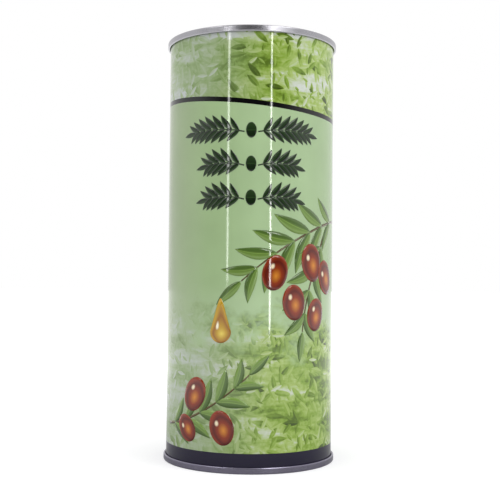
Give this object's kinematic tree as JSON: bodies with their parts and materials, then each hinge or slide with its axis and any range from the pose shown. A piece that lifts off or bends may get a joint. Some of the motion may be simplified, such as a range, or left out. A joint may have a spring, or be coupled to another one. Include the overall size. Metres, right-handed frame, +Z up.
{
  "type": "olive oil tin with spout",
  "caption": "Tall round litre tin with double-seamed ends and a pull-up pouring spout under a screw cap with folding handles.",
  "frame": {"origin": "centre of the resting plane, on the can's axis", "axes": "+Z up along the can's axis, -Y towards the front of the label, +X to the right of someone facing it"},
  "size_m": [0.0862, 0.0862, 0.2124],
  "materials": {
    "printed_plate": "gloss varnish over print",
    "tinplate": "bright tinned",
    "seam_compound": "matt",
    "gasket_rubber": "matt",
    "spout_plastic": "moulded satin",
    "cap_plastic": "moulded satin",
    "liner_foam": "matt foam"
  },
  "bodies": {
    "tin": {"can_body": "printed_plate", "top_end": "tinplate", "bottom_end": "tinplate", "top_seam_compound": "seam_compound", "bottom_seam_compound": "seam_compound", "neck_gasket": "gasket_rubber", "crimp_ring": "tinplate", "spout_base": "spout_plastic"},
    "spout": {"spout_tube": "spout_plastic", "tear_seal": "spout_plastic", "tamper_band": "cap_plastic"},
    "liner": {"cap_liner": "liner_foam"},
    "cap": {"cap": "cap_plastic"},
    "front_handle": {"front_bail": "cap_plastic"},
    "rear_handle": {"rear_bail": "cap_plastic"}
  },
  "joints": [
    {"name": "spout_slide", "type": "slide", "parent": "tin", "child": "spout", "axis": [0, 0, 1], "range_m": [0, 0.022]},
    {"name": "cap_lift", "type": "slide", "parent": "spout", "child": "liner", "axis": [0, 0, 1], "range_m": [0, 0.015]},
    {"name": "cap_turn", "type": "hinge", "parent": "liner", "child": "cap", "pos_m": [0, 0, 0.204], "axis": [0, 0, 1], "range_deg": [0, 1080]},
    {"name": "front_handle_hinge", "type": "hinge", "parent": "cap", "child": "front_handle", "pos_m": [0, -0.0022, 0.21122], "axis": [-1, 0, 0], "range_deg": [0, 90]},
    {"name": "rear_handle_hinge", "type": "hinge", "parent": "cap", "child": "rear_handle", "pos_m": [0, 0.0022, 0.21122], "axis": [1, 0, 0], "range_deg": [0, 90]}
  ],
  "couplings": [
    {"joint": "cap_lift", "follows": "cap_turn", "m_per_rad": 0.00079577}
  ]
}
